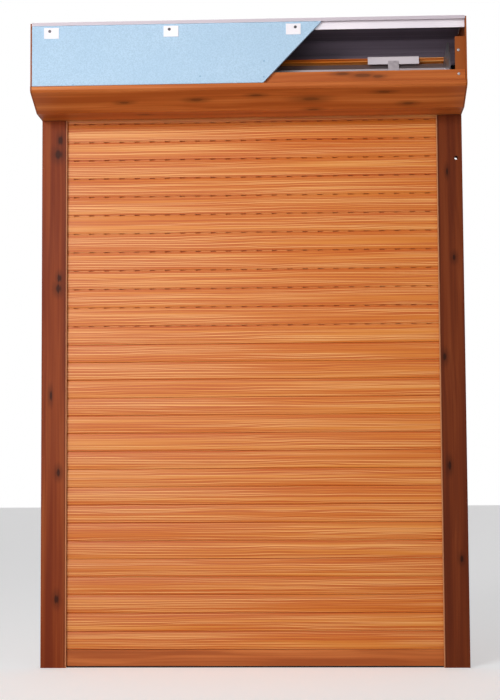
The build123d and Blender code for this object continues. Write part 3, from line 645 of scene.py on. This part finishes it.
def drawn_out(name, outlines, half):
    """A mesh of one or more outlines, (y, z) in millimetres, drawn from -half to half along X."""
    work = bmesh.new()
    for outline in outlines:
        ends = [[work.verts.new((x, y * MM, z * MM)) for y, z in outline] for x in (-half, half)]
        count = len(outline)
        for i in range(count):
            j = (i + 1) % count
            work.faces.new((ends[0][i], ends[0][j], ends[1][j], ends[1][i]))
        work.faces.new(ends[0])
        work.faces.new(ends[1][::-1])
    bmesh.ops.recalc_face_normals(work, faces=work.faces)
    return mesh_of(name, work, True)


def helper(name, mesh):
    """An object made of a mesh; most only lend their mesh to a node tree and are removed later."""
    thing = bpy.data.objects.new(name, mesh)
    bpy.context.scene.collection.objects.link(thing)
    return thing


SLAT_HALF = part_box("slat_01")[1][0]
WEB_HALF, WEB_COUNT, WEB_PITCH = 0.0105, 25, 0.032      # half length and pitch in metres
vented_outlines = [slat_body(), hook(BODY + VENT_HEIGHT)]
web_outline = [(WEB_FRONT, BODY - WEB_SINK), (NECK_RIGHT, BODY - WEB_SINK),
               (NECK_RIGHT, BODY + WEB_HEIGHT), (WEB_FRONT, BODY + WEB_HEIGHT)]
plain_slat = helper("plain_slat", drawn_out("plain_slat", [slat_body(), hook(BODY)], SLAT_HALF))
vented_slat = helper("vented_slat", drawn_out("vented_slat", vented_outlines, SLAT_HALF))
web = helper("web", drawn_out("web", [web_outline], WEB_HALF))
print("slat faces", len(plain_slat.data.polygons), "half width", SLAT_HALF)

# %% [markdown]
# ## Rows by rule
# The tree makes a column of points, one for each slat, and a line of copies on each: one whole
# slat, or the small webs that are left of the neck between the light slots. The webs are drawn
# deeper than the neck, nearly to the slat's front, so that the gaps between the slots show in the
# slat's colour. All is made real at the end and gets its finish: the export keeps no instances.

# %% Tree helpers
def geometry_tree(name, inputs):
    """A Geometry Nodes tree with named inputs, its input sockets, a node maker and its end."""
    tree = bpy.data.node_groups.new(name, "GeometryNodeTree")
    for label, kind in (("Geometry", "Geometry"), *inputs):
        tree.interface.new_socket(label, in_out="INPUT", socket_type="NodeSocket" + kind)
    tree.interface.new_socket("Geometry", in_out="OUTPUT", socket_type="NodeSocketGeometry")
    source = tree.nodes.new("NodeGroupInput")
    sink = tree.nodes.new("NodeGroupOutput")

    def node(kind, **links):
        made = tree.nodes.new(kind)
        for label, value in links.items():
            tree.links.new(value, made.inputs[label.replace("_", " ")])
        return made

    def dress(instances):
        real = node("GeometryNodeRealizeInstances", Geometry=instances)
        dressed = node("GeometryNodeSetMaterial", Geometry=real.outputs[0],
                       Material=source.outputs["Finish"])
        tree.links.new(dressed.outputs[0], sink.inputs[0])

    return tree, source.outputs, node, dress


def grown(name, tree, base, **values):
    """The mesh that a tree makes with these inputs, baked, with the modifier gone."""
    thing = helper(name, base)
    modifier = thing.modifiers.new(name, "NODES")
    modifier.node_group = tree
    keys = {item.name: item.identifier
            for item in tree.interface.items_tree if item.in_out == "INPUT"}
    for label, value in values.items():
        modifier[keys[label.replace("_", " ")]] = value
    graph = bpy.context.evaluated_depsgraph_get()
    mesh = bpy.data.meshes.new_from_object(thing.evaluated_get(graph))
    thing.modifiers.remove(modifier)
    bpy.data.objects.remove(thing)
    mesh.name = name
    return mesh


print("tree helpers ready")

# %% Row tree
def row_tree():
    """Geometry Nodes: a column of rows, each a centred line of copies of one piece."""
    tree, given, node, dress = geometry_tree("slat_rows", (
        ("Piece", "Object"), ("Rows", "Int"), ("First Height", "Float"), ("Pitch", "Float"),
        ("Plane", "Float"), ("Columns", "Int"), ("Column Pitch", "Float"), ("Finish", "Material")))
    first = node("ShaderNodeCombineXYZ", Y=given["Plane"], Z=given["First Height"])
    rise = node("ShaderNodeCombineXYZ", Z=given["Pitch"])
    column = node("GeometryNodeMeshLine", Count=given["Rows"], Start_Location=first.outputs[0],
                  Offset=rise.outputs[0])
    gaps = calc(tree, "SUBTRACT", given["Columns"], 1.0)
    reach = calc(tree, "MULTIPLY", gaps, given["Column Pitch"])
    left = node("ShaderNodeCombineXYZ", X=calc(tree, "MULTIPLY", reach, -0.5))
    along = node("ShaderNodeCombineXYZ", X=given["Column Pitch"])
    line = node("GeometryNodeMeshLine", Count=given["Columns"], Start_Location=left.outputs[0],
                Offset=along.outputs[0])
    piece = node("GeometryNodeObjectInfo", Object=given["Piece"])
    row = node("GeometryNodeInstanceOnPoints", Points=line.outputs[0],
               Instance=piece.outputs["Geometry"])
    rows = node("GeometryNodeInstanceOnPoints", Points=column.outputs[0], Instance=row.outputs[0])
    dress(rows.outputs[0])
    return tree


rows = row_tree()
print("tree", rows.name, "inputs", len(rows.interface.items_tree) - 1)

# %% The curtain
SLAT_PLANE = 0.0715


def joined(name, meshes, materials):
    """One object of several meshes, each in its own material, or all in the only one."""
    work = bmesh.new()
    for number, mesh in enumerate(meshes):
        for face in mesh.polygons:
            face.material_index = min(number, len(materials) - 1)
        work.from_mesh(mesh)
    mesh = mesh_of(name, work, False)
    for material in materials:
        mesh.materials.append(material)
    return helper(name, mesh)


def block(piece, count, height, pitch, columns=1, spacing=0.0):
    """Rows of one piece of the curtain."""
    return grown("rows", rows, bpy.data.meshes.new("rows"), Piece=piece, Rows=count,
                 First_Height=height, Pitch=pitch, Plane=SLAT_PLANE, Columns=columns,
                 Column_Pitch=spacing, Finish=slat_finish)


curtain = joined("curtain_slats", [
    block(plain_slat, CLOSED_ROWS, BAR_TOP, CLOSED_PITCH),
    block(vented_slat, OPEN_ROWS, OPEN_START, OPEN_PITCH),
    block(web, OPEN_ROWS, OPEN_START, OPEN_PITCH, WEB_COUNT, WEB_PITCH),
], [slat_finish])
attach(curtain, "curtain")
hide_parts(*[f"slat_{number:02d}" for number in range(1, 31)])
print("curtain triangles", sum(len(face.vertices) - 2 for face in curtain.data.polygons))

# %% [markdown]
# ## Screws
# Seven pan head screws hold the board and the panel. The head is a low dome that is spun from a
# profile, and a cross is cut into it. A second tree sets one on each place and turns it a little
# differently, as hands leave them.

# %% One screw
# Radius and depth in millimetres, from the top of the head past its seat to the point.
SCREW_PROFILE = [(0.0, -1.5), (1.2, -1.48), (2.2, -1.3), (2.8, -0.85), (3.0, -0.3), (3.0, 0.0),
                 (1.75, 0.0), (1.75, 12.0), (0.6, 13.0), (0.0, 13.0)]
CROSS_LONG, CROSS_WIDE, CROSS_HEIGHT, CROSS_TAPER = 3.4, 0.7, 1.6, 0.6


def spun(points, axis, steps, closed):
    """A bmesh of a line of points turned once round an axis through the origin."""
    work = bmesh.new()
    ring = [work.verts.new(point) for point in points]
    ends = ring[1:] + ring[:1] if closed else ring[1:]
    edges = [work.edges.new(pair) for pair in zip(ring, ends)]
    bmesh.ops.spin(work, geom=ring + edges, cent=(0, 0, 0), axis=axis, angle=2 * pi, steps=steps)
    bmesh.ops.remove_doubles(work, verts=work.verts, dist=1e-7)
    bmesh.ops.recalc_face_normals(work, faces=work.faces)
    return work


def cross_mesh():
    """Two crossed bars that narrow with depth, to be cut from a screw's head."""
    work = bmesh.new()
    for wide, high in ((CROSS_LONG, CROSS_WIDE), (CROSS_WIDE, CROSS_LONG)):
        for corner in bmesh.ops.create_cube(work, size=1.0)["verts"]:
            x, y, z = corner.co
            narrow = 1.0 if y < 0 else CROSS_TAPER
            corner.co = Vector((x * wide * narrow, y * CROSS_HEIGHT - CROSS_HEIGHT,
                                z * high * narrow)) * MM
    return mesh_of("cross", work, False)


def screw_mesh():
    """A pan head screw along Y with its seat at the origin and its head towards -Y."""
    points = [(radius * MM, y * MM, 0) for radius, y in SCREW_PROFILE]
    body = helper("screw", mesh_of("screw", spun(points, (0, 1, 0), 24, False), False))
    cutter = helper("cross", cross_mesh())
    cut = body.modifiers.new("cross", "BOOLEAN")
    cut.operation = "DIFFERENCE"
    cut.object = cutter
    cut.solver = "EXACT"
    cut.use_self = True
    graph = bpy.context.evaluated_depsgraph_get()
    done = bpy.data.meshes.new_from_object(body.evaluated_get(graph))
    bpy.data.objects.remove(body)
    bpy.data.objects.remove(cutter)
    return done


screw = helper("one_screw", screw_mesh())
print("screw faces", len(screw.data.polygons))

# %% Screw tree
LARGEST_TURN = 0.7      # radians either way


def screw_tree():
    """Geometry Nodes: one screw on each point, turned about its own axis by chance."""
    tree, given, node, dress = geometry_tree("screws_on_points", (
        ("Piece", "Object"), ("Seed", "Int"), ("Finish", "Material")))
    turn = node("FunctionNodeRandomValue")
    turn.data_type = "FLOAT_VECTOR"
    turn.inputs["Min"].default_value = (0, -LARGEST_TURN, 0)
    turn.inputs["Max"].default_value = (0, LARGEST_TURN, 0)
    tree.links.new(given["Seed"], turn.inputs["Seed"])
    piece = node("GeometryNodeObjectInfo", Object=given["Piece"])
    spread = node("GeometryNodeInstanceOnPoints", Points=given["Geometry"],
                  Instance=piece.outputs["Geometry"], Rotation=turn.outputs["Value"])
    dress(spread.outputs[0])
    return tree


screw_rows = screw_tree()
print("tree", screw_rows.name)

# %% Setting the screws
BOARD_FACE, WASHER, TAB_SEAT = -0.0795, 0.0015, -0.0697
BOARD_SCREW_HEIGHT, TAB_SIDE, LEDGE_SCREW_HEIGHT, TAB_SCREW_HEIGHT = 1.292, 0.424, 1.193, 1.242


def screws_at(name, places, seed, material):
    """Screws on these places, in one finish."""
    points = bpy.data.meshes.new(name)
    points.from_pydata(places, [], [])
    return grown(name, screw_rows, points, Piece=screw, Seed=seed, Finish=material)


board_places = [(x, BOARD_FACE - WASHER, BOARD_SCREW_HEIGHT) for x in (-0.4005, -0.1575, 0.097)]
tab_places = []
for side in (-TAB_SIDE, TAB_SIDE):
    tab_places += [(side, PANEL_FACE, LEDGE_SCREW_HEIGHT), (side, TAB_SEAT, TAB_SCREW_HEIGHT)]
screw_set = joined("screw_set", [
    screws_at("board_screws", board_places, 7, dark_steel),
    screws_at("tab_screws", tab_places, 4, zinc),
], [dark_steel, zinc])
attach(screw_set, "frame")
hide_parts("screws")
print("screws", len(board_places + tab_places), "faces", len(screw_set.data.polygons))

# %% [markdown]
# ## Flange discs
# A dished disc at each end of the tube keeps the slats in line while they wind. Only a crescent of
# the right one shows. Its section is spun round the tube's axis, with a rolled rim.

# %% Flange discs
AXIS_HEIGHT = 1.2105
SHEET, BORE, DISH, RIM = 0.0015, 0.0202, 0.031, 0.065


def flange_disc(side):
    """A pressed disc with a dished middle and a rolled rim."""
    low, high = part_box("flange_disc_right")
    inner, outer = low[0], high[0]
    line = [(inner, BORE), (inner, DISH), (outer - SHEET, 0.0642), (outer - 0.0010, RIM),
            (outer, 0.0643), (inner + SHEET, 0.0309), (inner + SHEET, BORE)]
    work = spun([(side * x, 0, radius) for x, radius in line], (1, 0, 0), 96, True)
    for vertex in work.verts:
        vertex.co.z += AXIS_HEIGHT
    name = "disc_left" if side < 0 else "disc_right"
    mesh = mesh_of(name, work, True)
    mesh.materials.append(zinc)
    disc = helper(name, mesh)
    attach(disc, "roller")
    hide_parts("flange_" + name)
    return disc


discs = [flange_disc(side) for side in (-1, 1)]
print("discs", [len(disc.data.polygons) for disc in discs])

# %% Clear the helpers
for thing in (plain_slat, vented_slat, web, screw):
    bpy.data.objects.remove(thing)
print("helpers removed")

# %% [markdown]
# ## Floor and background
# A plain pale floor keeps the shutter's shadow. Where the camera, a reflection or a clear surface
# looks past it the world is white, and everything else gets a softer grey from it.

# %% Floor
FLOOR_REACH, FLOOR_GLOW, WORLD_GREY = 14, 0.3, (0.34, 0.34, 0.35, 1)


def seen_directly(tree):
    """1 for what the camera, a reflection or a clear surface looks at, 0 for soft light."""
    rays = add(tree, "ShaderNodeLightPath")
    seen = calc(tree, "MAXIMUM", rays.outputs["Is Camera Ray"], rays.outputs["Is Glossy Ray"])
    return calc(tree, "MAXIMUM", seen, rays.outputs["Is Transmission Ray"])


def floor():
    """A large pale floor under the guides, with a faint glow of its own where it is seen."""
    mesh = bpy.data.meshes.new("floor")
    corners = [(x * FLOOR_REACH, y * FLOOR_REACH, 0)
               for x, y in ((-1, -1), (1, -1), (1, 1), (-1, 1))]
    mesh.from_pydata(corners, [], [(0, 1, 2, 3)])
    material, tree, shader, where = start("pale_floor", 0.9)
    speckle = noise(tree, where, (300.0, 300.0, 300.0), 2.0)
    tone = mix(tree, speckle, linear(236, 235, 234), linear(244, 243, 242))
    tree.links.new(tone, shader.inputs["Base Color"])
    glow = mix(tree, seen_directly(tree), (0.0, 0.0, 0.0, 1.0),
               (FLOOR_GLOW, FLOOR_GLOW, FLOOR_GLOW, 1.0))
    tree.links.new(glow, shader.inputs["Emission Color"])
    shader.inputs["Emission Strength"].default_value = 1.0
    mesh.materials.append(material)
    thing = helper("floor", mesh)
    return thing


ground = floor()
world = bpy.data.worlds.new("studio")
bpy.context.scene.world = world
world.use_nodes = True
sky = world.node_tree
backdrop = sky.nodes["Background"]
sky.links.new(mix(sky, seen_directly(sky), WORLD_GREY, (1, 1, 1, 1)), backdrop.inputs["Color"])
backdrop.inputs["Strength"].default_value = 1.0
print("floor", ground.name, "world", world.name)
